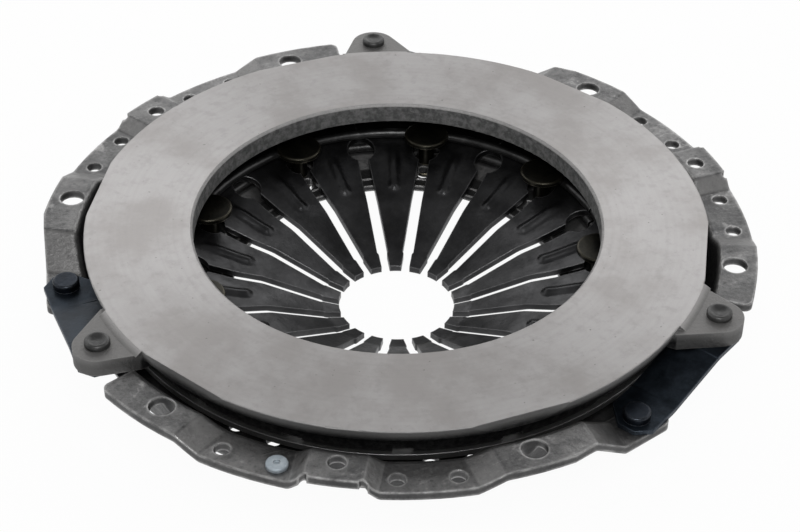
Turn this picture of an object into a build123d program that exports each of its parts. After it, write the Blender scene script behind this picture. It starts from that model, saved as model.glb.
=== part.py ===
from build123d import *

# Diaphragm-spring clutch pressure plate: a stamped steel cover, a cast pressure plate
# hung in it on three packs of drive straps, and the diaphragm spring that presses the
# plate out, held between two wire rings by nine spacer rivets.
#
# Millimetres. The origin is the centre of the bolt circle on the mounting plane, where the
# cover's pads meet the flywheel. +Z points to the flywheel and +X through a dowel hole.
# The pieces stand as in a clutch that isn't bolted up: the plate is as far out as it goes.

from math import atan, atan2, cos, degrees, hypot, radians, sin, tan
import os

os.makedirs("parts", exist_ok=True)

# ---- clearances ---------------------------------------------------------------------
seat_gap = 0.05  # between pieces that bear on each other
hole_gap = 0.05  # radial, round a rivet's shank

# ---- pressure plate casting ---------------------------------------------------------
plate_r = 115.0  # friction face, outer radius
plate_bore_r = 75.3
face_z = 5.8  # the face stands proud of the mounting plane
bore_depth = 8.2  # thickness at the bore
bore_chamfer = 0.9
plate_edge_r = 0.4  # machined corner of the face
rim_edge_r = 1.0
cast_r = 1.5  # roundings left by the mould
bore_edge_r = 0.5
rim_depth = 5.3  # thickness at the thin outer rim
rim_draft = 1.3
hub_r = 86.5  # the thinner inner band ends here
web_depth = 11.5  # thickness of the heavy middle band
land_r = 105.0  # where the casting bears on the spring
land_tip_r = 2.75  # rounded crest
land_width = 5.0
land_draft = 1.2
flat_reach = 113.5  # distance of the six flats beside the bolts
vent_count = 18
vent_width = 7.0
vent_depth = 2.6

# ---- lugs on the casting ------------------------------------------------------------
lug_angle = 73.55
lug_rivet_r = 124.2
lug_tip_r = 8.8
lug_drop = 1.5  # lug's top below the friction face
lug_thickness = 6.7
lug_root_r = 104.0
lug_base_r = 114.5
lug_base_back = 16.1  # half widths of the base, towards and away from the strap
lug_base_front = 12.9
lug_shoulder = 2.5  # sloped step from the face down to the lug
lug_step_angle = 13.0

# ---- diaphragm spring ---------------------------------------------------------------
spring_r = 108.5
spring_t = 2.4
spring_bend_r = 12.0
pivot_r = 81.0  # radius of the fulcrum rings
pivot_z = -13.6  # spring's upper surface at the fulcrum
disc_rise = 3.2  # the rim stands this far above the fulcrum
finger_count = 18
root_r = 60.0  # the stiff root of each finger ends here
root_drop = 7.1  # below the fulcrum
knee_r = 50.5  # then a flatter stretch to the knee
knee_drop = 9.3
finger_bend_r = 28.0
finger_drop = 18.8
tip_r = 22.0
tip_drop = 20.4
slot_width = 4.2
tip_slot_width = 3.2
keyhole_r = 5.5
rivet_pitch_r = 76.0  # keyholes and spacer rivets
rib_r = 65.0
rib_length = 22.0
rib_width = 5.4
rib_height = 1.1
rib_taper = 30.0

# ---- fulcrum rings and spacer rivets ------------------------------------------------
wire_d = 3.6
wire_split = 1.2  # gap between the ends of each ring
spacer_count = 9
spacer_head_r = 8.8
spacer_head_t = 2.0
spacer_tail_r = 2.5
spacer_upset_r = 5.0
spacer_upset_t = 2.2
spacer_seat_r = 6.0
spacer_seat_drop = 1.2
spacer_head_edge_r = 0.7
spacer_neck_r = 0.35
spacer_upset_edge_r = 1.2

# ---- stamped cover ------------------------------------------------------------------
sheet = 3.2
flange_r = 132.5
wall_top_r = 118.5
wall_foot_r = 112.5
wall_bend = 6.0
dish_edge_r = 79.3  # the panel dips towards the opening inside this radius
dish_foot_r = 72.0
dish_depth = 3.4
dish_bend = 3.6
lip_r = 66.2  # the opening's edge is coined down inside this radius
lip_step = 0.6
opening_r = 62.0
bend = 3.4  # bends across the flange
flange_root_r = 2.6  # the flange rolls over into the wall

bolt_circle_r = 124.35
bolt_hole_r = 4.5
dowel_hole_r = 3.1
bolt_angle = 30.0  # bolts either side of each dowel
recess_depth = 4.2
dowel_pad_half = 9.4
dowel_ramp = 5.4
bolt_pad_half = 12.5
bolt_ramp = 9.5
strap_pad_depth = 9.7
strap_ramp_start = 20.2  # measured from the bolt along the flange
strap_ramp_end = 33.6
wing_low = -39.8  # each third of the flange runs between these angles
wing_high = 54.5
wing_corner_r = 3.0
wing_split_angle = 15.0
strap_trim_angle = 47.0  # the flange is trimmed straight beside the strap's rivet
strap_trim_reach = 129.6
window_floor = -14.5  # the wall is cut away down to here behind each lug
small_hole_r = 2.8
flange_hole_pitch_r = 126.3
flange_hole_angles = (9.0, 18.0)
panel_hole_pitch_r = 100.8
panel_hole_angles = (15.5, 24.0)
lip_hole_pitch_r = 69.4
lip_hole_r = 2.5
notch_r = 1.4
notch_angle = 4.3

# ---- drive straps and their rivets --------------------------------------------------
leaf_count = 3
leaf_t = 0.6
strap_out = 8.0  # strap's edges, measured from the line through its rivets
strap_in = 10.0
strap_end = 6.6
strap_chamfer_out = 4.6
strap_chamfer_in = 7.0
strap_flat = 11.0  # clamped length beyond each rivet
strap_bend = 16.0
strap_rivet_angle = 50.2
strap_rivet_r = 122.4
strap_shank_r = 3.2
cover_head_r = 4.8
cover_head_t = 3.2
upset_r = 4.4
upset_t = 2.2
lug_head_r = 4.5
lug_head_t = 2.5
head_edge_r = 0.8

# ---- balance rivet ------------------------------------------------------------------
balance_angle = 231.0
balance_head_r = 3.8
balance_head_t = 1.6
balance_dimple_r = 1.2
balance_upset_t = 1.5

# ---- worked out from the sizes above ------------------------------------------------
thirds = (0, 120, 240)
disc_tilt = atan(disc_rise / (spring_r - pivot_r))
root_tilt = atan(root_drop / (pivot_r - root_r))
front_ring_z = pivot_z + wire_d / 2 / cos(disc_tilt) + seat_gap
rear_ring_z = pivot_z - (spring_t + wire_d / 2) / cos(root_tilt) - seat_gap
panel_z = rear_ring_z - wire_d / 2 - seat_gap
spacer_head_z = front_ring_z + wire_d / 2 + seat_gap
spacer_shank_r = pivot_r - wire_d / 2 - rivet_pitch_r - seat_gap
spacer_seat_z = panel_z - spacer_seat_drop
lug_top = face_z - lug_drop
lug_bottom = lug_top - lug_thickness
strap_t = leaf_count * leaf_t
strap_low_z = -strap_pad_depth
strap_high_z = lug_bottom - strap_t
land_lean = land_tip_r * (1 / cos(disc_tilt) - 1)  # the crest touches off centre on the slope
land_z = pivot_z + (land_r - pivot_r) * tan(disc_tilt) + land_lean + seat_gap
outside = flange_r + 10  # clear of everything, for cutting tools
root_search = 0.05  # how close to the wall an edge of the flange's root lies


# ---- helpers ------------------------------------------------------------------------
def polar(radius, angle):
    """The point at this radius and angle about the clutch's axis."""
    return (radius * cos(radians(angle)), radius * sin(radians(angle)))


def parallel(points, distance):
    """Corners of the path that runs this far to the right of the one through points."""
    steps = [(b[0] - a[0], b[1] - a[1]) for a, b in zip(points, points[1:])]
    normals = [(dy / hypot(dx, dy), -dx / hypot(dx, dy)) for dx, dy in steps]
    before = normals[:1] + normals
    after = normals + normals[-1:]
    moved = []
    for (x, y), (ax, ay), (bx, by) in zip(points, before, after):
        share = distance / (1 + ax * bx + ay * by)
        moved.append((x + share * (ax + bx), y + share * (ay + by)))
    return moved


def sheet_outline(points, radii, thickness):
    """Draw a bent sheet in the open BuildLine: points run along its left side."""
    turns = []
    for a, b, c in zip(points, points[1:], points[2:]):
        turns.append((b[0] - a[0]) * (c[1] - b[1]) - (b[1] - a[1]) * (c[0] - b[0]))
    right_radii = [r + thickness if turn > 0 else r - thickness for r, turn in zip(radii, turns)]
    left = FilletPolyline(*points, radius=radii)
    right = FilletPolyline(*parallel(points, thickness), radius=right_radii)
    Line(left @ 0, right @ 0)
    Line(left @ 1, right @ 1)


def ring_sector(inner, outer, start, end):
    """Sketch of a flat ring's part between two angles."""
    with BuildSketch(mode=Mode.PRIVATE) as sector:
        with BuildLine():
            outer_arc = CenterArc((0, 0), outer, start, end - start)
            inner_arc = CenterArc((0, 0), inner, start, end - start)
            Line(outer_arc @ 0, inner_arc @ 0)
            Line(outer_arc @ 1, inner_arc @ 1)
        make_face()
    return sector.sketch


def radial_plane(angle):
    """Upright plane across the radius at this angle: x along the rim, y up."""
    east, north = polar(1, angle)
    return Plane(origin=(0, 0, 0), x_dir=(-north, east, 0), z_dir=(east, north, 0))


def keep(piece, name):
    """Label a finished piece and write it."""
    piece.part.label = name
    export_step(piece.part, f"parts/{name}.step")


# ---- pressure plate -----------------------------------------------------------------
rim_bottom = face_z - rim_depth
web_bottom = face_z - web_depth
land_foot = land_width / 2 + land_draft

with BuildPart() as pressure_plate:
    with BuildSketch(Plane.XZ):
        with BuildLine():
            FilletPolyline(
                (plate_bore_r + bore_chamfer, face_z),
                (plate_r, face_z),
                (plate_r - rim_draft, rim_bottom),
                (land_r + land_foot, rim_bottom),
                (land_r + land_width / 2, land_z),
                (land_r - land_width / 2, land_z),
                (land_r - land_foot, web_bottom),
                (hub_r + land_draft, web_bottom),
                (hub_r, face_z - bore_depth),
                (plate_bore_r, face_z - bore_depth),
                (plate_bore_r, face_z - bore_chamfer),
                radius=[
                    0,
                    plate_edge_r,
                    rim_edge_r,
                    cast_r,
                    land_tip_r,
                    land_tip_r,
                    cast_r,
                    cast_r,
                    cast_r,
                    bore_edge_r,
                    0,
                ],
                close=True,
            )
        make_face()
    revolve(axis=Axis.Z)

    # flats that leave room for the bolt heads' sockets
    with BuildSketch(Plane.XY.offset(face_z)):
        Circle(outside)
        RegularPolygon(flat_reach, 6, major_radius=False, mode=Mode.SUBTRACT)
        with Locations((0, 0)):
            Circle(hub_r, mode=Mode.SUBTRACT)
    extrude(amount=-rim_depth, mode=Mode.SUBTRACT)

    # air passages across the bearing land
    with BuildSketch(Plane.XY.offset(land_z)):
        with PolarLocations(land_r, vent_count, start_angle=180 / vent_count):
            Rectangle(2 * land_width + 4 * land_draft, vent_width)
    extrude(amount=vent_depth, mode=Mode.SUBTRACT)

    # lugs that the drive straps hold, each with a sloped step up to the face
    for third in thirds:
        angle = third + lug_angle
        east, north = polar(1, angle - lug_step_angle / 2)
        with BuildSketch(Plane(origin=(0, 0, 0), x_dir=(east, north, 0), z_dir=(north, -east, 0))):
            with BuildLine():
                Polyline(
                    (plate_r - lug_shoulder, face_z),
                    (plate_r, face_z),
                    (plate_r + lug_shoulder, lug_top),
                    (plate_r - lug_shoulder, lug_top),
                    close=True,
                )
            make_face()
        revolve(axis=Axis.Z, revolution_arc=lug_step_angle)
        with BuildSketch(Plane.XY.rotated((0, 0, angle)).offset(lug_bottom)):
            with Locations((lug_rivet_r, 0)):
                Circle(lug_tip_r)
            with BuildLine():
                Polyline(
                    (lug_root_r, -lug_base_back),
                    (lug_base_r, -lug_base_back),
                    (lug_base_r, lug_base_front),
                    (lug_root_r, lug_base_front),
                    close=True,
                )
            make_face()
            make_hull()
        extrude(amount=lug_thickness)
        with BuildSketch(Plane.XY.rotated((0, 0, angle)).offset(lug_top)):
            with Locations((lug_rivet_r, 0)):
                Circle(strap_shank_r + hole_gap)
        extrude(amount=-lug_thickness, mode=Mode.SUBTRACT)

keep(pressure_plate, "pressure_plate")

# ---- diaphragm spring ---------------------------------------------------------------
spring_top = [
    (tip_r, pivot_z - tip_drop),
    (finger_bend_r, pivot_z - finger_drop),
    (knee_r, pivot_z - knee_drop),
    (root_r, pivot_z - root_drop),
    (pivot_r, pivot_z),
    (spring_r, pivot_z + disc_rise),
]
slot_depth = pivot_z + disc_rise - spring_top[0][1] + 4 * spring_t

with BuildPart() as diaphragm_spring:
    with BuildSketch(Plane.XZ):
        with BuildLine():
            sheet_outline(spring_top, [spring_bend_r] * (len(spring_top) - 2), spring_t)
        make_face()
    revolve(axis=Axis.Z)

    # slots between the fingers, each ending in a round hole
    with BuildSketch(Plane.XY.offset(pivot_z + disc_rise)):
        with PolarLocations(0, finger_count):
            with Locations(((tip_r + rivet_pitch_r) / 2, 0)):
                Rectangle(rivet_pitch_r - tip_r + 2 * spring_t, tip_slot_width)
            with Locations(((finger_bend_r + rivet_pitch_r) / 2, 0)):
                Rectangle(rivet_pitch_r - finger_bend_r, slot_width)
        with PolarLocations(rivet_pitch_r, finger_count):
            Circle(keyhole_r)
    extrude(amount=-slot_depth, mode=Mode.SUBTRACT)

    # pressed stiffening rib at the root of each finger
    rib_z = pivot_z - (pivot_r - rib_r) * tan(root_tilt)
    for index in range(finger_count):
        east, north = polar(1, (index + 0.5) * 360 / finger_count)
        uphill = (east * cos(root_tilt), north * cos(root_tilt), sin(root_tilt))
        outward = (-east * sin(root_tilt), -north * sin(root_tilt), cos(root_tilt))
        root_top = Plane(origin=(rib_r * east, rib_r * north, rib_z), x_dir=uphill, z_dir=outward)
        with BuildSketch(root_top.offset(-spring_t / 2)):
            SlotOverall(rib_length, rib_width)
        extrude(amount=spring_t / 2 + rib_height, taper=rib_taper)

keep(diaphragm_spring, "diaphragm_spring")

# ---- fulcrum rings ------------------------------------------------------------------
split_arc = degrees(wire_split / pivot_r)
for name, ring_z in (("fulcrum_ring_front", front_ring_z), ("fulcrum_ring_rear", rear_ring_z)):
    with BuildPart() as fulcrum_ring:
        with BuildSketch(Plane.XZ):
            with Locations((pivot_r, ring_z)):
                Circle(wire_d / 2)
        revolve(axis=Axis.Z, revolution_arc=360 - split_arc)
    keep(fulcrum_ring, name)

# ---- spacer rivets ------------------------------------------------------------------
spacer_tail_z = spacer_seat_z - sheet
with BuildPart() as spacer_rivet:
    with BuildSketch(Plane.XZ):
        with BuildLine():
            FilletPolyline(
                (0, spacer_head_z + spacer_head_t),
                (spacer_head_r, spacer_head_z + spacer_head_t),
                (spacer_head_r, spacer_head_z),
                (spacer_shank_r, spacer_head_z),
                (spacer_shank_r, spacer_seat_z),
                (spacer_tail_r, spacer_seat_z),
                (spacer_tail_r, spacer_tail_z),
                (spacer_upset_r, spacer_tail_z),
                (spacer_upset_r, spacer_tail_z - spacer_upset_t),
                (0, spacer_tail_z - spacer_upset_t),
                radius=[
                    0,
                    spacer_head_edge_r,
                    spacer_neck_r,
                    spacer_neck_r,
                    0,
                    0,
                    0,
                    0,
                    spacer_upset_edge_r,
                    0,
                ],
                close=True,
            )
        make_face()
    revolve(axis=Axis.Z)

with BuildPart() as spacer_rivets:
    with PolarLocations(rivet_pitch_r, spacer_count, start_angle=360 / finger_count):
        add(spacer_rivet.part)

keep(spacer_rivets, "spacer_rivets")

# ---- stamped cover ------------------------------------------------------------------
shell_inside = [
    (wall_top_r, 0),
    (wall_foot_r, panel_z),
    (dish_edge_r, panel_z),
    (dish_foot_r, panel_z - dish_depth),
    (opening_r, panel_z - dish_depth),
]
shell_radii = [wall_bend, dish_bend, dish_bend]
run_out = 2 * bolt_ramp + 3 * bolt_pad_half  # past the ends of every wave

dowel_wave = [
    (-run_out, -recess_depth),
    (-dowel_pad_half - dowel_ramp, -recess_depth),
    (-dowel_pad_half, 0),
    (dowel_pad_half, 0),
    (dowel_pad_half + dowel_ramp, -recess_depth),
    (run_out, -recess_depth),
]
lead_wave = [
    (-run_out, 0),
    (bolt_pad_half, 0),
    (bolt_pad_half + bolt_ramp, -recess_depth),
    (run_out, -recess_depth),
]
trail_wave = [
    (-run_out, -recess_depth),
    (-bolt_pad_half - bolt_ramp, -recess_depth),
    (-bolt_pad_half, 0),
    (strap_ramp_start, 0),
    (strap_ramp_end, -strap_pad_depth),
    (2 * run_out, -strap_pad_depth),
]
# azimuth that each wave is drawn across, its path, and the angles it covers
waves = (
    (0, dowel_wave, -wing_split_angle, wing_split_angle),
    (-bolt_angle, lead_wave, wing_low, -wing_split_angle),
    (bolt_angle, trail_wave, wing_split_angle, wing_high),
)


def flange_piece(azimuth, wave, start, end):
    """One stretch of the flange, folded up and down along the wave."""
    lower = [(s, z - sheet) for s, z in wave]
    radii = [bend] * (len(wave) - 2)
    with BuildPart() as stretch:
        with BuildSketch(radial_plane(azimuth).offset(wall_foot_r / 2)):
            with BuildLine():
                top = FilletPolyline(*wave, radius=radii)
                bottom = FilletPolyline(*lower, radius=radii)
                Line(top @ 0, bottom @ 0)
                Line(top @ 1, bottom @ 1)
            make_face()
        extrude(amount=outside)
        with BuildSketch(Plane.XY.offset(-outside)):
            add(ring_sector(wall_top_r, flange_r, start, end))
        extrude(amount=2 * outside, mode=Mode.INTERSECT)
    return stretch.part


def space_above(azimuth, wave, start, end):
    """Everything above one stretch of the flange, to trim the wall's top edge."""
    radii = [bend] * (len(wave) - 2)
    with BuildPart() as space:
        with BuildSketch(radial_plane(azimuth).offset(wall_foot_r / 2)):
            with BuildLine():
                top = FilletPolyline(*wave, radius=radii)
                Polyline(top @ 1, (wave[-1][0], sheet), (wave[0][0], sheet), top @ 0)
            make_face()
        extrude(amount=outside)
        with BuildSketch(Plane.XY.offset(-outside)):
            add(ring_sector(wall_foot_r / 2 + sheet, outside, start, end))
        extrude(amount=2 * outside, mode=Mode.INTERSECT)
    return space.part


def at_wing_corner(edge):
    """True for the upright edges at the outer corners of the flange's ends."""
    middle = edge.center()
    angle = degrees(atan2(middle.Y, middle.X)) % 120
    ends = (wing_low % 120, wing_high)
    upright = abs(edge.bounding_box().size.Z - sheet) < sheet / 10 and edge.length < 1.1 * sheet
    on_rim = hypot(middle.X, middle.Y) > bolt_circle_r + bolt_hole_r
    return upright and on_rim and min(abs(angle - end) for end in ends) < 0.5


def at_flange_root(edge):
    """True for the edges where the flange's top meets the inside of the wall."""
    middle = edge.position_at(0.5)
    wall_r = wall_top_r + (wall_top_r - wall_foot_r) * middle.Z / -panel_z
    on_wall = abs(hypot(middle.X, middle.Y) - wall_r) < root_search
    return on_wall and middle.Z > window_floor and edge.geom_type != GeomType.LINE


with BuildPart() as cover:
    with BuildSketch(Plane.XZ):
        with BuildLine():
            sheet_outline(list(reversed(shell_inside)), list(reversed(shell_radii)), sheet)
        make_face()
    revolve(axis=Axis.Z)

    # coined edge round the opening
    with BuildSketch(Plane.XY.offset(panel_z - dish_depth)):
        Circle(lip_r)
    extrude(amount=-lip_step, mode=Mode.SUBTRACT)

    # wall trimmed to the flange's wave, then the flange itself
    for third in thirds:
        for azimuth, wave, start, end in waves:
            add(space_above(third + azimuth, wave, third + start, third + end), mode=Mode.SUBTRACT)
        with BuildSketch(Plane.XY.offset(window_floor)):
            add(ring_sector(wall_foot_r / 2, outside, third + wing_high, third + 120 + wing_low))
        extrude(amount=-window_floor + sheet, mode=Mode.SUBTRACT)
    for third in thirds:
        for azimuth, wave, start, end in waves:
            add(flange_piece(third + azimuth, wave, third + start, third + end))

    fillet(cover.edges().filter_by(at_flange_root), flange_root_r)

    # flat seats for the spacer rivets, pressed into the dish
    with BuildSketch(Plane.XY.offset(spacer_seat_z)):
        with PolarLocations(rivet_pitch_r, spacer_count, start_angle=360 / finger_count):
            Circle(spacer_seat_r)
    extrude(amount=sheet, mode=Mode.SUBTRACT)
    with BuildSketch(Plane.XY.offset(spacer_seat_z - sheet)):
        with PolarLocations(rivet_pitch_r, spacer_count, start_angle=360 / finger_count):
            Circle(spacer_seat_r)
    extrude(amount=-sheet, mode=Mode.SUBTRACT)
    with BuildSketch(Plane.XY.offset(spacer_seat_z)):
        with PolarLocations(rivet_pitch_r, spacer_count, start_angle=360 / finger_count):
            Circle(spacer_seat_r)
    extrude(amount=-sheet)

    # corners of the flange, its straight trim beside each strap, and its edge notches
    with BuildSketch(Plane.XY.offset(-outside)) as trim:
        for third in thirds:
            with Locations(Location((0, 0, 0), (0, 0, third + strap_trim_angle))):
                with Locations((strap_trim_reach + flange_r / 2, 0)):
                    Rectangle(flange_r, flange_r / 2)
            for side in (-notch_angle, notch_angle):
                with Locations(polar(flange_r, third + side)):
                    Circle(notch_r)
    extrude(amount=2 * outside, mode=Mode.SUBTRACT)

    # bolt, dowel, balance, panel and rivet holes
    with BuildSketch(Plane.XY.offset(-outside)):
        for third in thirds:
            with Locations(polar(bolt_circle_r, third)):
                Circle(dowel_hole_r)
            for side in (-1, 1):
                with Locations(polar(bolt_circle_r, third + side * bolt_angle)):
                    Circle(bolt_hole_r)
                for angle in flange_hole_angles:
                    with Locations(polar(flange_hole_pitch_r, third + side * angle)):
                        Circle(small_hole_r)
                for angle in panel_hole_angles:
                    with Locations(polar(panel_hole_pitch_r, third + side * angle)):
                        Circle(small_hole_r)
            with Locations(polar(strap_rivet_r, third + strap_rivet_angle)):
                Circle(strap_shank_r + hole_gap)
        with PolarLocations(rivet_pitch_r, spacer_count, start_angle=360 / finger_count):
            Circle(spacer_tail_r + hole_gap)
        with PolarLocations(lip_hole_pitch_r, spacer_count, start_angle=360 / finger_count):
            Circle(lip_hole_r)
    extrude(amount=2 * outside, mode=Mode.SUBTRACT)

    fillet(cover.edges().filter_by(at_wing_corner), wing_corner_r)

keep(cover, "cover")

# ---- drive straps -------------------------------------------------------------------
start_x, start_y = polar(strap_rivet_r, strap_rivet_angle)
end_x, end_y = polar(lug_rivet_r, lug_angle)
strap_length = hypot(end_x - start_x, end_y - start_y)
strap_heading = degrees(atan2(end_y - start_y, end_x - start_x))


def strap_plane(third):
    """Plane at the cover rivet: x runs to the lug rivet and z is up."""
    east, north = polar(strap_rivet_r, third + strap_rivet_angle)
    return Plane(origin=(east, north, 0)).rotated((0, 0, third + strap_heading))


def strap_path(height):
    """Side view of a leaf's lower surface, raised by this height in its pack."""
    points = [
        (-strap_end, strap_low_z + height),
        (strap_flat, strap_low_z + height),
        (strap_length - strap_flat, strap_high_z + height),
        (strap_length + strap_end, strap_high_z + height),
    ]
    return FilletPolyline(*points, radius=strap_bend)


for number, third in enumerate(thirds, start=1):
    flat = strap_plane(third)
    side = Plane(origin=flat.origin, x_dir=flat.x_dir, z_dir=-flat.y_dir)
    for leaf in range(leaf_count):
        with BuildPart() as drive_strap:
            with BuildSketch(side):
                with BuildLine():
                    lower = strap_path(leaf * leaf_t)
                    upper = strap_path((leaf + 1) * leaf_t)
                    Line(lower @ 0, upper @ 0)
                    Line(lower @ 1, upper @ 1)
                make_face()
            extrude(amount=2 * strap_in, both=True)
            with BuildSketch(flat.offset(-outside)):
                with BuildLine():
                    Polyline(
                        (-strap_end, -strap_out + strap_chamfer_out),
                        (-strap_end + strap_chamfer_out, -strap_out),
                        (strap_length + strap_end - strap_chamfer_out, -strap_out),
                        (strap_length + strap_end, -strap_out + strap_chamfer_out),
                        (strap_length + strap_end, strap_in - strap_chamfer_in),
                        (strap_length + strap_end - strap_chamfer_in, strap_in),
                        (-strap_end + strap_chamfer_in, strap_in),
                        (-strap_end, strap_in - strap_chamfer_in),
                        close=True,
                    )
                make_face()
                with Locations((0, 0), (strap_length, 0)):
                    Circle(strap_shank_r + hole_gap, mode=Mode.SUBTRACT)
            extrude(amount=2 * outside, mode=Mode.INTERSECT)
        keep(drive_strap, f"drive_strap_{number}_leaf_{leaf + 1}")

# ---- strap rivets -------------------------------------------------------------------
def strap_rivet(spot, top_z, bottom_z, head_r, head_t):
    """Rivet from the surface under its head down to the face that its tail is upset on."""
    with BuildPart() as rivet:
        with BuildSketch(Plane.XY.offset(top_z)):
            with Locations(spot):
                Circle(head_r)
        extrude(amount=head_t)
        fillet(rivet.edges().group_by(Axis.Z)[-1], head_edge_r)
        with BuildSketch(Plane.XY.offset(bottom_z)):
            with Locations(spot):
                Circle(strap_shank_r)
        extrude(amount=top_z - bottom_z)
        with BuildSketch(Plane.XY.offset(bottom_z - upset_t)):
            with Locations(spot):
                Circle(upset_r)
        extrude(amount=upset_t)
        fillet(rivet.edges().group_by(Axis.Z)[0], upset_t / 2)
    return rivet


for number, third in enumerate(thirds, start=1):
    cover_rivet = strap_rivet(
        polar(strap_rivet_r, third + strap_rivet_angle),
        strap_low_z + strap_t,
        strap_low_z - sheet,
        cover_head_r,
        cover_head_t,
    )
    keep(cover_rivet, f"strap_rivet_cover_{number}")
    lug_rivet = strap_rivet(
        polar(lug_rivet_r, third + lug_angle), lug_top, strap_high_z, lug_head_r, lug_head_t
    )
    keep(lug_rivet, f"strap_rivet_lug_{number}")

# ---- balance rivet ------------------------------------------------------------------
balance_spot = polar(flange_hole_pitch_r, balance_angle)
with BuildPart() as balance_rivet:
    with BuildSketch(Plane.XY.offset(-recess_depth)):
        with Locations(balance_spot):
            Circle(balance_head_r)
    extrude(amount=balance_head_t)
    fillet(balance_rivet.edges().group_by(Axis.Z)[-1], balance_head_t / 2)
    with BuildSketch(Plane.XY.offset(-recess_depth + balance_head_t)):
        with Locations(balance_spot):
            Circle(balance_dimple_r)
    extrude(amount=-balance_head_t / 2, mode=Mode.SUBTRACT)
    with BuildSketch(Plane.XY.offset(-recess_depth - sheet)):
        with Locations(balance_spot):
            Circle(small_hole_r - hole_gap)
    extrude(amount=sheet)
    with BuildSketch(Plane.XY.offset(-recess_depth - sheet - balance_upset_t)):
        with Locations(balance_spot):
            Circle(balance_head_r)
    extrude(amount=balance_upset_t)

keep(balance_rivet, "balance_rivet")
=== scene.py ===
"""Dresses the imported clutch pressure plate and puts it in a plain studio.

Metres, in the row's frame: the origin is the centre of the bolt circle on the mounting
plane, +Z points to the flywheel and +X through a dowel hole.
"""

from math import asin, cos, hypot, pi, radians, sin, sqrt

import bmesh
import bpy
from mathutils import Matrix, Vector


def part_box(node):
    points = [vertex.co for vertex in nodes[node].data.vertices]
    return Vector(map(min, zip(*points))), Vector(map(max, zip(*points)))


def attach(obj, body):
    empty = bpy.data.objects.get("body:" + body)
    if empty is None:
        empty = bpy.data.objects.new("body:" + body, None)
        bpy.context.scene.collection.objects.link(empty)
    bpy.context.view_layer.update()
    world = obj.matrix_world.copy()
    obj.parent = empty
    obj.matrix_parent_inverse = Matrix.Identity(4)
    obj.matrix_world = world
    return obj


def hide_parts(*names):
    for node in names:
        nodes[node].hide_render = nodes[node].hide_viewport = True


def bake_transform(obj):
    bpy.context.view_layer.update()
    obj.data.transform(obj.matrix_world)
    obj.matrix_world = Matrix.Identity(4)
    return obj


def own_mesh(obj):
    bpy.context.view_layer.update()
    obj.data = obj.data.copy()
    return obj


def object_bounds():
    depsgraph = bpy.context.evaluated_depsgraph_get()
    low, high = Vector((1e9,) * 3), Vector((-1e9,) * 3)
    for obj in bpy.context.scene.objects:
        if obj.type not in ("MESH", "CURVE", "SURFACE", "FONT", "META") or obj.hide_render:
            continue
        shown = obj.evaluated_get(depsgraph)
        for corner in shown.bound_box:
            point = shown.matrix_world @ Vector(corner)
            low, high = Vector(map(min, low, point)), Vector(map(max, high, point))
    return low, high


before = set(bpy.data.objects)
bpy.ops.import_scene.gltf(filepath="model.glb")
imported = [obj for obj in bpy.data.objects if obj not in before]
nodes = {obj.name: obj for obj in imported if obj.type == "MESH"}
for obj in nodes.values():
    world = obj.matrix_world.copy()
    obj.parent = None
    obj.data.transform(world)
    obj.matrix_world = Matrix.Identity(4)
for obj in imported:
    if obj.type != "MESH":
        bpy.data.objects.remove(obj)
cad_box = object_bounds()

MM = 0.001

# ---- sizes shared with the solids, in millimetres -----------------------------------
FACE_Z = 5.8
LUG_TOP = 4.3
BORE_R = 75.3
PLATE_R = 115.0
WALL_R = 118.5  # the cover's wall at the flange
SPRING_T = 2.4
SPRING_BEND_R = 12.0
# upper surface of the spring, from the fingers' tips to the rim: radius and height
SPRING_TOP = (
    (22.0, -34.0),
    (28.0, -32.4),
    (50.5, -22.9),
    (60.0, -20.7),
    (81.0, -13.6),
    (108.5, -10.4),
)
FINGERS = 18
SLOT_W = 4.2
TIP_SLOT_W = 3.2
KEYHOLE_R = 5.5
KEYHOLE_PITCH_R = 76.0
RIM_SPLIT_R = 82.0  # the fingers end and the rim's sectors begin
LAND_R = 105.0
TIP_R, TIP_BEND_R, PIVOT_R, SPRING_R = (SPRING_TOP[k][0] for k in (0, 1, 4, 5))

# ---- node trees ---------------------------------------------------------------------
BEVEL_SAMPLES = 6
EDGE_STRENGTH = 6.0


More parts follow.
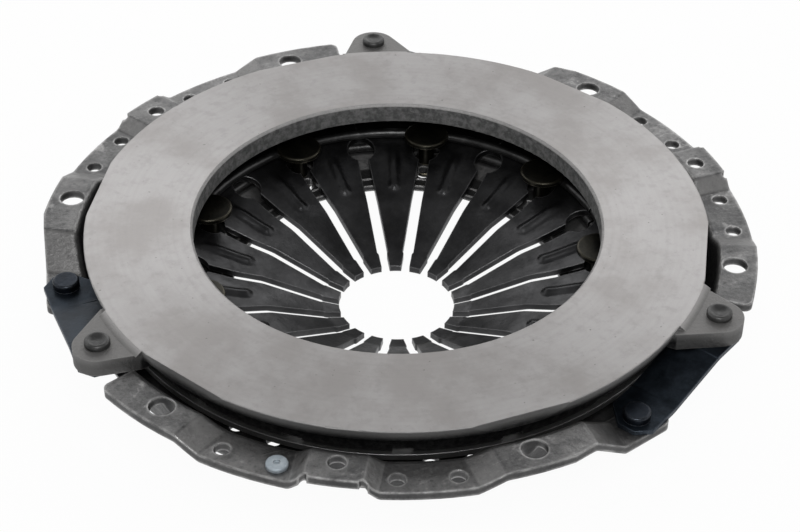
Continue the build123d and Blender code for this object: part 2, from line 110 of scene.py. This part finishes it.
class Shader:
    """A material under construction: add() makes a node and returns it."""

    def __init__(self, name):
        self.material = bpy.data.materials.new(name)
        self.material.use_nodes = True
        self.tree = self.material.node_tree
        self.tree.nodes.clear()
        output = self.tree.nodes.new("ShaderNodeOutputMaterial")
        self.surface = self.add("ShaderNodeBsdfPrincipled")
        self.link(self.surface.outputs["BSDF"], output.inputs["Surface"])
        self.place = self.add("ShaderNodeTexCoord").outputs["Object"]

    def link(self, output, socket):
        self.tree.links.new(output, socket)

    def add(self, kind, **inputs):
        node = self.tree.nodes.new(kind)
        for name, value in inputs.items():
            self.put(node, name.replace("_", " "), value)
        return node

    def put(self, node, name, value):
        socket = node.inputs[name]
        if isinstance(value, bpy.types.NodeSocket):
            self.link(value, socket)
        elif isinstance(value, (tuple, list)) and len(value) == 3 and socket.type == "RGBA":
            socket.default_value = (*value, 1)
        else:
            socket.default_value = value

    def set(self, **inputs):
        for name, value in inputs.items():
            self.put(self.surface, name.replace("_", " "), value)

    def math(self, operation, *values, clamp=False):
        node = self.tree.nodes.new("ShaderNodeMath")
        node.operation = operation
        node.use_clamp = clamp
        for socket, value in zip(node.inputs, values):
            if isinstance(value, bpy.types.NodeSocket):
                self.link(value, socket)
            else:
                socket.default_value = value
        return node.outputs["Value"]

    def noise(self, scale, detail=3.0, roughness=0.55, stretch=(1, 1, 1), offset=0.0):
        """Noise from 0 to 1; scale counts its features per metre."""
        moved = self.add("ShaderNodeMapping", Vector=self.place)
        moved.inputs["Scale"].default_value = stretch
        moved.inputs["Location"].default_value = (offset, offset, offset)
        node = self.add(
            "ShaderNodeTexNoise",
            Vector=moved.outputs["Vector"],
            Scale=scale,
            Detail=detail,
            Roughness=roughness,
        )
        return node.outputs["Fac"]

    def steps(self, value, low, high):
        """A smooth rise from 0 at low to 1 at high."""
        node = self.tree.nodes.new("ShaderNodeMapRange")
        node.interpolation_type = "SMOOTHSTEP"
        self.put(node, "Value", value)
        node.inputs["From Min"].default_value = low
        node.inputs["From Max"].default_value = high
        return node.outputs["Result"]

    def range(self, value, low, high):
        """Stretch 0 to 1 onto low to high."""
        return self.math("ADD", self.math("MULTIPLY", value, high - low), low)

    def mix(self, share, one, other):
        node = self.tree.nodes.new("ShaderNodeMix")
        node.data_type = "RGBA"
        for socket, value in ((node.inputs[0], share), (node.inputs[6], one), (node.inputs[7], other)):
            if isinstance(value, bpy.types.NodeSocket):
                self.link(value, socket)
            elif isinstance(value, (tuple, list)):
                socket.default_value = (*value, 1)
            else:
                socket.default_value = value
        return node.outputs[2]

    def axes(self):
        split = self.add("ShaderNodeSeparateXYZ", Vector=self.place)
        return split.outputs["X"], split.outputs["Y"], split.outputs["Z"]

    def radius(self):
        """Distance from the clutch's axis, in metres."""
        x, y, _ = self.axes()
        return self.math("SQRT", self.math("ADD", self.math("MULTIPLY", x, x), self.math("MULTIPLY", y, y)))

    def rings(self, scale):
        """Noise that only changes with the radius: fine turning marks."""
        node = self.add("ShaderNodeCombineXYZ", X=self.radius())
        return self.add(
            "ShaderNodeTexNoise", Vector=node.outputs["Vector"], Scale=scale, Detail=3.0
        ).outputs["Fac"]

    def facing_up(self, low=0.97, high=0.995):
        """1 where the true surface faces the flywheel."""
        normal = self.add("ShaderNodeNewGeometry").outputs["True Normal"]
        up = self.add("ShaderNodeSeparateXYZ", Vector=normal).outputs["Z"]
        return self.steps(up, low, high)

    def rounded_normal(self, radius):
        """The surface's normal with its edges rounded by this radius."""
        bevel = self.tree.nodes.new("ShaderNodeBevel")
        bevel.samples = BEVEL_SAMPLES
        bevel.inputs["Radius"].default_value = radius
        return bevel.outputs["Normal"]

    def edges(self, width):
        """1 on edges, where a rounded normal leaves the true one: rubbed edges, also used for painted edge
        highlights.
        """
        rounded = self.rounded_normal(width)
        geometry = self.add("ShaderNodeNewGeometry")
        dot = self.tree.nodes.new("ShaderNodeVectorMath")
        dot.operation = "DOT_PRODUCT"
        self.link(rounded, dot.inputs[0])
        self.link(geometry.outputs["Normal"], dot.inputs[1])
        away = self.math("SUBTRACT", 1.0, dot.outputs["Value"])
        return self.math("MULTIPLY", away, EDGE_STRENGTH, clamp=True)

    def bump(self, height, distance, rounded):
        """Bump of this height, over edges rounded by this radius."""
        node = self.add("ShaderNodeBump", Height=height, Distance=distance, Strength=1.0)
        self.link(self.rounded_normal(rounded), node.inputs["Normal"])
        self.set(Normal=node.outputs["Normal"])


# ---- materials ----------------------------------------------------------------------
def machined_iron():
    """Ground friction face and turned bore on a rough, darker casting, with painted light on its wall and
    painted highlights on its edges.
    """
    s = Shader("machined_iron")
    _, _, z = s.axes()
    radius = s.radius()
    near_face = s.steps(z, (FACE_Z - 0.6) * MM, (FACE_Z - 0.3) * MM)
    ground = s.math("MULTIPLY", s.facing_up(), near_face)
    turned = s.steps(radius, (BORE_R + 1.9) * MM, (BORE_R + 1.5) * MM)
    # painted light: the casting's outer wall is painted lighter towards the face edge, where light falls on
    # it, and stays dark below
    painted_wall_light = s.steps(z, (FACE_Z - 5.0) * MM, (FACE_Z - 1.2) * MM)

    cloud = s.noise(30, detail=5, roughness=0.62)
    blotch = s.noise(190, detail=4, roughness=0.7, offset=2.0)
    speck = s.noise(1700, detail=2)
    pit = s.noise(620, detail=1, offset=5.0)
    rings = s.rings(700)
    face = s.mix(s.steps(cloud, 0.36, 0.62), (0.308, 0.295, 0.289), (0.378, 0.368, 0.366))
    face = s.mix(s.math("MULTIPLY", s.steps(blotch, 0.48, 0.68), 0.4), face, (0.275, 0.265, 0.260))
    face = s.mix(s.math("MULTIPLY", s.steps(rings, 0.4, 0.7), 0.16), face, (0.26, 0.25, 0.245))
    face = s.mix(s.math("MULTIPLY", s.steps(speck, 0.6, 0.8), 0.3), face, (0.25, 0.24, 0.235))
    face = s.mix(s.math("MULTIPLY", s.steps(pit, 0.76, 0.82), 0.7), face, (0.12, 0.115, 0.11))

    grain = s.noise(420, detail=4, roughness=0.7)
    cast = s.mix(s.steps(grain, 0.35, 0.7), (0.022, 0.022, 0.023), (0.060, 0.060, 0.060))
    cast = s.mix(s.math("MULTIPLY", painted_wall_light, 0.85), cast, (0.30, 0.298, 0.295))
    bore = s.mix(s.steps(grain, 0.35, 0.65), (0.17, 0.172, 0.172), (0.34, 0.34, 0.336))
    cast = s.mix(turned, cast, bore)
    lug = s.steps(radius, (PLATE_R + 0.2) * MM, (PLATE_R + 0.9) * MM)
    cast = s.mix(s.math("MULTIPLY", lug, 0.7), cast, (0.15, 0.148, 0.146))
    step = s.steps(z, (LUG_TOP + 0.1) * MM, (FACE_Z - 0.2) * MM)
    lug_top = s.math("MULTIPLY", s.facing_up(0.5, 0.75), s.steps(z, (LUG_TOP - 0.4) * MM, LUG_TOP * MM))
    lug_color = s.mix(step, (0.23, 0.226, 0.222), (0.42, 0.41, 0.405))
    cast = s.mix(s.math("MULTIPLY", lug_top, 0.75), cast, lug_color)
    # rubbed edges and painted edge highlights: the casting's edges are painted lighter
    edge_wear_and_glint = s.math("MULTIPLY", s.edges(0.0009), s.math("SUBTRACT", 1.0, ground))
    cast = s.mix(s.math("MULTIPLY", edge_wear_and_glint, 0.45), cast, (0.34, 0.335, 0.33))

    s.set(Base_Color=s.mix(ground, cast, face), Metallic=0.85)
    s.set(Roughness=s.range(ground, 0.6, 0.44))
    s.set(Anisotropic=s.math("MULTIPLY", ground, 0.6), Tangent=s.place)  # marks run round the axis
    coarse = s.noise(900, detail=4, roughness=0.65)
    height = s.math("MULTIPLY", coarse, s.range(ground, 1.0, 0.07))
    height = s.math("ADD", height, s.math("MULTIPLY", rings, 0.03))
    s.bump(height, 0.0003, rounded=0.0004)
    return s.material


def stamped_steel():
    """Grey phosphated sheet: dark stains, scuffs, rubbed edges with painted highlights, painted shade on
    its walls and painted light on its slopes.
    """
    s = Shader("stamped_steel")
    cloud = s.noise(30, detail=6, roughness=0.66)
    stain = s.noise(75, detail=6, roughness=0.72, offset=7.0)
    fine = s.noise(650, detail=4, roughness=0.75)
    scuff = s.noise(110, detail=7, roughness=0.78, offset=3.0)
    scratch = s.noise(60, detail=5, roughness=0.7, stretch=(1.0, 14.0, 6.0), offset=1.0)
    color = s.mix(s.steps(cloud, 0.32, 0.68), (0.088, 0.088, 0.089), (0.185, 0.183, 0.182))
    color = s.mix(s.math("MULTIPLY", s.steps(stain, 0.5, 0.66), 0.6), color, (0.055, 0.055, 0.057))
    color = s.mix(s.math("MULTIPLY", s.steps(fine, 0.5, 0.78), 0.4), color, (0.30, 0.295, 0.29))
    color = s.mix(s.math("MULTIPLY", s.steps(fine, 0.46, 0.32), 0.5), color, (0.040, 0.040, 0.041))
    color = s.mix(s.math("MULTIPLY", s.steps(scuff, 0.56, 0.66), 0.5), color, (0.33, 0.325, 0.32))
    color = s.mix(s.math("MULTIPLY", s.steps(scratch, 0.64, 0.7), 0.4), color, (0.40, 0.395, 0.39))
    # painted shade: faces that do not face up are painted near black and made less metallic, less so on the
    # flange's cut edge
    painted_wall_shade = s.math("SUBTRACT", 1.0, s.facing_up(0.25, 0.75))
    cut_edge = s.steps(s.radius(), (WALL_R + 2) * MM, (WALL_R + 4) * MM)
    painted_wall_shade = s.math("MULTIPLY", painted_wall_shade, s.range(cut_edge, 0.95, 0.6))
    color = s.mix(painted_wall_shade, color, (0.024, 0.024, 0.025))
    # painted light: sloped faces, between upright and flat, are painted lighter
    painted_slope_light = s.math("MULTIPLY", s.facing_up(0.5, 0.72), s.math("SUBTRACT", 1.0, s.facing_up(0.9, 0.97)))
    color = s.mix(s.math("MULTIPLY", painted_slope_light, 0.3), color, (0.38, 0.375, 0.37))
    # rubbed edges and painted highlights: edges and hole rims are painted bright where scuffed
    edge_wear_and_glint = s.math("MULTIPLY", s.edges(0.0017), s.range(s.steps(scuff, 0.35, 0.6), 0.2, 1.0))
    color = s.mix(s.math("MULTIPLY", edge_wear_and_glint, 0.8), color, (0.58, 0.575, 0.57))
    s.set(Base_Color=color, Metallic=s.range(painted_wall_shade, 0.9, 0.4), Specular_IOR_Level=0.25)
    s.set(Roughness=s.range(s.steps(scuff, 0.4, 0.7), 0.46, 0.32))
    dents = s.noise(170, detail=6, roughness=0.62)
    s.bump(s.math("ADD", dents, s.math("MULTIPLY", fine, 0.15)), 0.00045, rounded=0.0007)
    return s.material


def oiled_spring(name, dark, light, roughness):
    """Blackened steel under an oil film; its rim and edges are lighter, partly rubbed and partly painted
    highlight.
    """
    s = Shader(name)
    cloud = s.noise(60, detail=4, roughness=0.6)
    smear = s.noise(180, detail=5, roughness=0.7, offset=1.7)
    dust = s.noise(900, detail=3, roughness=0.7)
    color = s.mix(s.steps(cloud, 0.3, 0.75), dark, light)
    color = s.mix(s.math("MULTIPLY", s.steps(dust, 0.6, 0.8), 0.3), color, (0.07, 0.07, 0.072))
    # the rim past the plate's land is lighter: rubbed by the land, and a painted highlight of its lit outer
    # edge
    rim_rub_and_glint = s.steps(s.radius(), (LAND_R - 0.5) * MM, (LAND_R + 1.0) * MM)
    color = s.mix(s.math("MULTIPLY", rim_rub_and_glint, 0.8), color, (0.32, 0.318, 0.315))
    # rubbed edges and painted edge highlights
    color = s.mix(s.math("MULTIPLY", s.edges(0.0008), 0.6), color, (0.30, 0.30, 0.305))
    s.set(Base_Color=color, Metallic=0.9)
    s.set(Roughness=s.range(s.steps(smear, 0.35, 0.7), roughness, roughness + 0.16))
    s.bump(s.noise(700, detail=4, roughness=0.6), 0.0001, rounded=0.0005)
    return s.material


def plain_steel(name, dark, light, roughness, edge_rub_and_glint=(0.3, 0.3, 0.3), edge_rub_and_glint_share=0.55, metal=0.9):
    """Small steel parts: a soft mottle and rounded edges, lighter as rubbed edges and as painted edge
    highlights.
    """
    s = Shader(name)
    cloud = s.noise(140, detail=4, roughness=0.65)
    fine = s.noise(600, detail=4)
    color = s.mix(s.steps(cloud, 0.3, 0.7), dark, light)
    # rubbed edges and painted edge highlights
    color = s.mix(s.math("MULTIPLY", s.edges(0.0008), edge_rub_and_glint_share), color, edge_rub_and_glint)
    s.set(Base_Color=color, Metallic=metal, Roughness=s.range(cloud, roughness, roughness + 0.12))
    s.bump(fine, 0.0001, rounded=0.0004)
    return s.material


IRON = machined_iron()
COVER_STEEL = stamped_steel()
SPRING_STEEL = oiled_spring("oiled_spring", (0.024, 0.024, 0.025), (0.060, 0.060, 0.062), 0.28)
WIRE = plain_steel("drawn_wire", (0.042, 0.042, 0.042), (0.080, 0.080, 0.080), 0.3)
# the gold edge colour is a painted highlight, with some rubbing: the bright arc on the heads' lower rims
SPACER_STEEL = plain_steel(
    "spacer_steel", (0.012, 0.012, 0.010), (0.030, 0.028, 0.022), 0.28, (0.60, 0.54, 0.40), 0.8
)
STRAP_STEEL = plain_steel(
    "strap_steel", (0.010, 0.014, 0.019), (0.026, 0.034, 0.045), 0.36, (0.10, 0.12, 0.15)
)
# the pale edge colour is a painted highlight on the heads' rims, with some rubbing
STRAP_RIVET = plain_steel(
    "strap_rivet_steel", (0.008, 0.011, 0.016), (0.018, 0.023, 0.032), 0.28, (0.60, 0.63, 0.68), 0.9
)
# the pale edge colour is a painted highlight, with some rubbing: the light ring round the dished head
LUG_RIVET = plain_steel(
    "lug_rivet_steel", (0.050, 0.050, 0.050), (0.095, 0.095, 0.094), 0.36, (0.60, 0.59, 0.58), 0.8
)
ZINC = plain_steel(
    "zinc", (0.30, 0.35, 0.39), (0.46, 0.51, 0.55), 0.42, (0.62, 0.66, 0.68), metal=0.45
)


def finish_of(name):
    """The material for a node of the frame."""
    table = {
        "pressure_plate": IRON,
        "cover": COVER_STEEL,
        "diaphragm_spring": SPRING_STEEL,
        "spacer_rivets": SPACER_STEEL,
        "balance_rivet": ZINC,
    }
    starts = {
        "fulcrum_ring": WIRE,
        "drive_strap": STRAP_STEEL,
        "strap_rivet_cover": STRAP_RIVET,
        "strap_rivet_lug": LUG_RIVET,
    }
    if name in table:
        return table[name]
    return next(material for start, material in starts.items() if name.startswith(start))


for name, node in nodes.items():
    node.data.materials.clear()
    node.data.materials.append(finish_of(name))


# ---- the spring, built as new meshes: fingers and rim sectors -----------------------
MERGE_DISTANCE = 1e-6  # metres
SHEET_SHARP = radians(40)
RIVET_SHARP = radians(50)


def new_piece(name, mesh, material):
    piece = bpy.data.objects.new(name, mesh)
    bpy.context.scene.collection.objects.link(piece)
    piece.data.materials.clear()
    piece.data.materials.append(material)
    return piece


def closed_mesh(name, verts, faces, sharp_angle):
    """Mesh with its doubled points merged and its faces turned outwards."""
    mesh = bpy.data.meshes.new(name)
    mesh.from_pydata(verts, [], faces)
    shape = bmesh.new()
    shape.from_mesh(mesh)
    bmesh.ops.remove_doubles(shape, verts=shape.verts, dist=MERGE_DISTANCE)
    bmesh.ops.recalc_face_normals(shape, faces=shape.faces)
    store(shape, mesh, sharp_angle)
    return mesh


def store(shape, mesh, sharp_angle):
    """Write the edited shape into the mesh, smooth but for edges over this angle."""
    shape.to_mesh(mesh)
    shape.free()
    for face in mesh.polygons:
        face.use_smooth = True
    mesh.set_sharp_from_angle(angle=sharp_angle)


def spring_surface(radius):
    """Height of the spring's plain upper surface and its slope, in millimetres."""
    slopes = [(b[1] - a[1]) / (b[0] - a[0]) for a, b in zip(SPRING_TOP, SPRING_TOP[1:])]
    height = SPRING_TOP[0][1] + slopes[0] * (radius - SPRING_TOP[0][0])
    slope = slopes[0]
    for (corner, _), before, after in zip(SPRING_TOP[1:], slopes, slopes[1:]):
        turn = after - before
        half = SPRING_BEND_R * abs(turn) / 2
        past = radius - corner
        if past >= half:
            height += turn * past
            slope += turn
        elif past > -half:
            height += turn * (past + half) ** 2 / (4 * half)
            slope += turn * (past + half) / (2 * half)
    return height, slope


def smooth(value):
    value = min(1.0, max(0.0, value))
    return value * value * (3 - 2 * value)


RIB_IN, RIB_OUT = 54.2, 77.0
RIB_HALF_IN, RIB_HALF_OUT = 3.0, 2.6
RIB_H = 1.45
RIB_SIDE_RISE = 1.1
RIB_OUTER_FADE = 2.6
TIP_WIDEN_LENGTH = 0.9  # the slot widens over this length outside the tip's bend
COLUMNS = 22  # faces across one finger
KEYHOLE_ROWS = 24
CLOSE_ROW, OPEN_ROW = 0.45, 1.0  # spacing of the mesh's rows inside the keyhole
PIVOT_ROW, RIM_ROW = 0.5, 1.5  # and outside it


def rib_height(radius, across):
    """Pressed rib at the root of a finger: steep inner end, fading outer end."""
    along = (radius - RIB_IN) / (RIB_OUT - RIB_IN)
    if not 0 < along < 1:
        return 0.0
    half = RIB_HALF_IN + (RIB_HALF_OUT - RIB_HALF_IN) * along
    nose = RIB_IN + half
    if radius < nose:
        reach = sqrt((radius - nose) ** 2 + across**2) / half
    else:
        reach = abs(across) / half
    if reach >= 1:
        return 0.0
    side = smooth(RIB_SIDE_RISE * (1 - reach))
    return RIB_H * side * smooth(RIB_OUTER_FADE * (1 - along))


def finger_edge(radius):
    """Half the angle that one finger spans at this radius."""
    pitch = pi / FINGERS
    if radius >= KEYHOLE_PITCH_R + KEYHOLE_R:
        return pitch
    widen = smooth((radius - TIP_BEND_R) / TIP_WIDEN_LENGTH)
    half = (TIP_SLOT_W + (SLOT_W - TIP_SLOT_W) * widen) / 2
    past = radius - KEYHOLE_PITCH_R
    if abs(past) < KEYHOLE_R:
        hole = sqrt(KEYHOLE_R**2 - past**2)
        half = hole if past > 0 else max(half, hole)
    return pitch - asin(half / radius)


def finger_radii(low, high):
    """Rows of the mesh: close together at the tip, the bend and the keyhole."""
    rows = []
    radius = TIP_R
    while radius < KEYHOLE_PITCH_R - KEYHOLE_R:
        rows.append(radius)
        close = radius < TIP_BEND_R + 1.5 or RIB_IN - 1 < radius < RIB_IN + 4
        radius += CLOSE_ROW if close else OPEN_ROW
    rows += [KEYHOLE_PITCH_R - KEYHOLE_R * cos(pi * k / KEYHOLE_ROWS) for k in range(KEYHOLE_ROWS + 1)]
    radius = KEYHOLE_PITCH_R + KEYHOLE_R + 0.25
    while radius < SPRING_R:
        rows.append(radius)
        radius += PIVOT_ROW if radius < PIVOT_R + 2.2 else RIM_ROW
    rows += [RIM_SPLIT_R, SPRING_R - 0.5, SPRING_R]
    return sorted(set(round(r, 4) for r in rows if low <= r <= high))


def spring_sheet(name, low, high, sectors):
    """Mesh of the spring between two radii, for these sectors of its circle."""
    across = COLUMNS
    radii = finger_radii(low, high)
    open_r = KEYHOLE_PITCH_R + KEYHOLE_R  # no slot outside this radius
    whole = len(sectors) == FINGERS
    verts, faces = [], []
    for sector in sectors:
        middle = (sector + 0.5) * 2 * pi / FINGERS
        base = len(verts)
        for side in (0, 1):
            for radius in radii:
                edge = finger_edge(radius)
                top, slope = spring_surface(radius)
                under = side * SPRING_T * hypot(1, slope)
                for column in range(across + 1):
                    turn = edge * (2 * column / across - 1)
                    z = top + rib_height(radius, radius * turn) - under
                    angle = middle + turn
                    verts.append((radius * cos(angle) * MM, radius * sin(angle) * MM, z * MM))
        row = across + 1
        layer = len(radii) * row
        for i in range(len(radii) - 1):
            for j in range(across):
                a = base + i * row + j
                b = a + row
                faces.append((a, b, b + 1, a + 1))
                a, b = a + layer, b + layer
                faces.append((a, a + 1, b + 1, b))
            if whole and radii[i] >= open_r:
                continue
            for j, flip in ((0, False), (across, True)):
                a = base + i * row + j
                b = a + row
                wall = (a, a + layer, b + layer, b)
                faces.append(tuple(reversed(wall)) if flip else wall)
        for i, flip in ((0, True), (len(radii) - 1, False)):
            for j in range(across):
                a = base + i * row + j
                wall = (a, a + layer, a + 1 + layer, a + 1)
                faces.append(tuple(reversed(wall)) if flip else wall)
    return closed_mesh(name, verts, faces, SHEET_SHARP)


fingers = new_piece(
    "spring_fingers",
    spring_sheet("spring_fingers", TIP_R, RIM_SPLIT_R, range(FINGERS)),
    SPRING_STEEL,
)
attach(fingers, "cover")
spring_surface(RIM_SPLIT_R)[0] * MM
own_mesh(fingers)
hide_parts("diaphragm_spring")

for sector in range(FINGERS):
    name = f"spring_rim_{sector + 1}"
    rim = new_piece(
        name,
        spring_sheet(name, RIM_SPLIT_R, SPRING_R, [sector]),
        SPRING_STEEL,
    )
    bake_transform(rim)
    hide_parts("diaphragm_spring")


# ---- lug rivets: dished heads --------------------------------------------------------
RIVET_PROFILE = (  # radius and height over the lug's top, in millimetres
    (0.0, 1.75),
    (2.1, 1.8),
    (2.8, 2.3),
    (3.4, 2.5),
    (4.0, 2.35),
    (4.4, 1.95),
    (4.5, 1.4),
    (4.5, 0.0),
    (3.2, 0.0),
    (3.2, -8.5),
    (4.4, -8.5),
    (4.4, -9.6),
    (4.1, -10.3),
    (3.3, -10.7),
    (0.0, -10.7),
)


def turned_piece(name, profile, centre, base_z, material, steps=64):
    """Lathe a closed profile round an upright line through centre."""
    verts, faces = [], []
    for radius, height in profile:
        for k in range(steps):
            angle = 2 * pi * k / steps
            east, north = radius * cos(angle) * MM, radius * sin(angle) * MM
            verts.append((centre.x + east, centre.y + north, (base_z + height) * MM))
    for i in range(len(profile) - 1):
        for k in range(steps):
            a, b = i * steps + k, i * steps + (k + 1) % steps
            faces.append((a, a + steps, b + steps, b))
    return new_piece(name, closed_mesh(name, verts, faces, RIVET_SHARP), material)


def centre_of(node):
    low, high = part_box(node)
    return (low + high) / 2


for number in (1, 2, 3):
    source = f"strap_rivet_lug_{number}"
    rivet = turned_piece(
        f"lug_rivet_{number}", RIVET_PROFILE, centre_of(source), LUG_TOP, LUG_RIVET
    )
    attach(rivet, "pressure_plate")
    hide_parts(source)


# ---- drive straps: the same leaves, cut finer along their length ---------------------
STRAP_FLAT = 11.0 * MM  # clamped length beyond each rivet
STRAP_CUTS = 24
STRAP_MERGE_DISTANCE = 1e-7  # metres

for number in (1, 2, 3):
    start = centre_of(f"strap_rivet_cover_{number}")
    end = centre_of(f"strap_rivet_lug_{number}")
    along = Vector((end.x - start.x, end.y - start.y, 0))
    length = along.length
    along.normalize()
    ground = Vector((start.x, start.y, 0))
    for leaf in (1, 2, 3):
        source = f"drive_strap_{number}_leaf_{leaf}"
        mesh = nodes[source].data.copy()
        shape = bmesh.new()
        shape.from_mesh(mesh)
        bmesh.ops.remove_doubles(shape, verts=shape.verts, dist=STRAP_MERGE_DISTANCE)
        for cut in range(1, STRAP_CUTS):
            reach = STRAP_FLAT + (length - 2 * STRAP_FLAT) * cut / STRAP_CUTS
            everything = shape.verts[:] + shape.edges[:] + shape.faces[:]
            spot = ground + along * reach
            bmesh.ops.bisect_plane(shape, geom=everything, plane_co=spot, plane_no=along)
        store(shape, mesh, SHEET_SHARP)
        strap = new_piece(f"strap_{number}_leaf_{leaf}", mesh, STRAP_STEEL)
        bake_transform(strap)
        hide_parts(source)


# ---- studio -------------------------------------------------------------------------
FLOOR_SIZE = 6.0
FLOOR_GAP = 0.0002  # the floor lies this far under the solids' lowest point
FLOOR_GLOW = 0.96  # share of the white backdrop in what the camera sees of the floor
floor_z = cad_box[0][2] - FLOOR_GAP


def floor_material():
    """Pale floor that the camera and reflections see as near white."""
    material = bpy.data.materials.new("floor")
    material.use_nodes = True
    tree = material.node_tree
    tree.nodes.clear()
    output = tree.nodes.new("ShaderNodeOutputMaterial")
    matt = tree.nodes.new("ShaderNodeBsdfDiffuse")
    matt.inputs["Color"].default_value = (0.86, 0.86, 0.86, 1)
    glow = tree.nodes.new("ShaderNodeEmission")
    path = tree.nodes.new("ShaderNodeLightPath")
    seen = tree.nodes.new("ShaderNodeMath")
    seen.operation = "MAXIMUM"
    mirrored = tree.nodes.new("ShaderNodeMath")
    mirrored.operation = "MAXIMUM"
    tree.links.new(path.outputs["Is Glossy Ray"], mirrored.inputs[0])
    tree.links.new(path.outputs["Is Transmission Ray"], mirrored.inputs[1])
    tree.links.new(path.outputs["Is Camera Ray"], seen.inputs[0])
    tree.links.new(mirrored.outputs["Value"], seen.inputs[1])
    share = tree.nodes.new("ShaderNodeMath")
    share.operation = "MULTIPLY"
    share.inputs[1].default_value = FLOOR_GLOW
    tree.links.new(seen.outputs["Value"], share.inputs[0])
    mix = tree.nodes.new("ShaderNodeMixShader")
    tree.links.new(share.outputs["Value"], mix.inputs["Fac"])
    tree.links.new(matt.outputs["BSDF"], mix.inputs[1])
    tree.links.new(glow.outputs["Emission"], mix.inputs[2])
    tree.links.new(mix.outputs["Shader"], output.inputs["Surface"])
    return material


floor_mesh = bpy.data.meshes.new("floor")
half = FLOOR_SIZE / 2
floor_mesh.from_pydata(
    [(-half, -half, floor_z), (half, -half, floor_z), (half, half, floor_z), (-half, half, floor_z)],
    [],
    [(0, 1, 2, 3)],
)
floor = bpy.data.objects.new("floor", floor_mesh)
bpy.context.scene.collection.objects.link(floor)
floor.data.materials.append(floor_material())

world = bpy.data.worlds.new("studio")
bpy.context.scene.world = world
world.use_nodes = True
world.node_tree.nodes["Background"].inputs["Color"].default_value = (1, 1, 1, 1)
world.node_tree.nodes["Background"].inputs["Strength"].default_value = 0.3

VIEW_AZIMUTH = 21.5  # the camera stands this far round from -Y, clockwise from above


def lamp(name, azimuth, elevation, distance, size, watts):
    """Area lamp that faces the object, placed by the camera's own azimuth."""
    turn = radians(azimuth - VIEW_AZIMUTH - 90)
    rise = radians(elevation)
    spot = Vector((cos(turn) * cos(rise), sin(turn) * cos(rise), sin(rise))) * distance
    light = bpy.data.lights.new(name, "AREA")
    light.shape = "SQUARE"
    light.size = size
    light.energy = watts
    holder = bpy.data.objects.new(name, light)
    bpy.context.scene.collection.objects.link(holder)
    holder.location = spot
    holder.rotation_euler = spot.to_track_quat("Z", "Y").to_euler()


# name, degrees round from the camera, degrees up, distance and size in metres, watts
lamp("back", 180, 27, 1.3, 1.0, 4.2)
lamp("back_left", -142, 26, 1.4, 1.0, 3.0)
lamp("back_right", 142, 26, 1.4, 1.0, 2.9)
lamp("front", 0, 48, 1.2, 0.5, 6)
lamp("left", -95, 35, 1.4, 0.8, 2)
lamp("right", 95, 35, 1.4, 0.8, 2)

# ---- camera -------------------------------------------------------------------------
ELEVATION = radians(38.364)
DISTANCE = 726.12 * MM
ASIDE = 1.186 * MM
ALOFT = -17.541 * MM
ROLL = radians(0.636)
FOCAL_PX = 1968.5
FRAME_W = 800
SENSOR = 36.0  # millimetres, as Blender counts it

back = Vector((0, -cos(ELEVATION), sin(ELEVATION)))
right = Vector((1, 0, 0))
up = Vector((0, sin(ELEVATION), cos(ELEVATION)))
eye = back * DISTANCE + right * ASIDE + up * ALOFT + Vector((0, 0, FACE_Z * MM))
rolled_right = right * cos(ROLL) + up * sin(ROLL)
rolled_up = up * cos(ROLL) - right * sin(ROLL)
turn = Matrix.Rotation(-radians(VIEW_AZIMUTH), 3, "Z")
basis = turn @ Matrix((rolled_right, rolled_up, back)).transposed()

camera_data = bpy.data.cameras.new("camera")
camera_data.sensor_width = SENSOR
camera_data.lens = FOCAL_PX * SENSOR / FRAME_W
camera = bpy.data.objects.new("camera", camera_data)
bpy.context.scene.collection.objects.link(camera)
camera.matrix_world = Matrix.Translation(turn @ eye) @ basis.to_4x4()
bpy.context.scene.camera = camera

bpy.context.scene.view_settings.view_transform = "Standard"
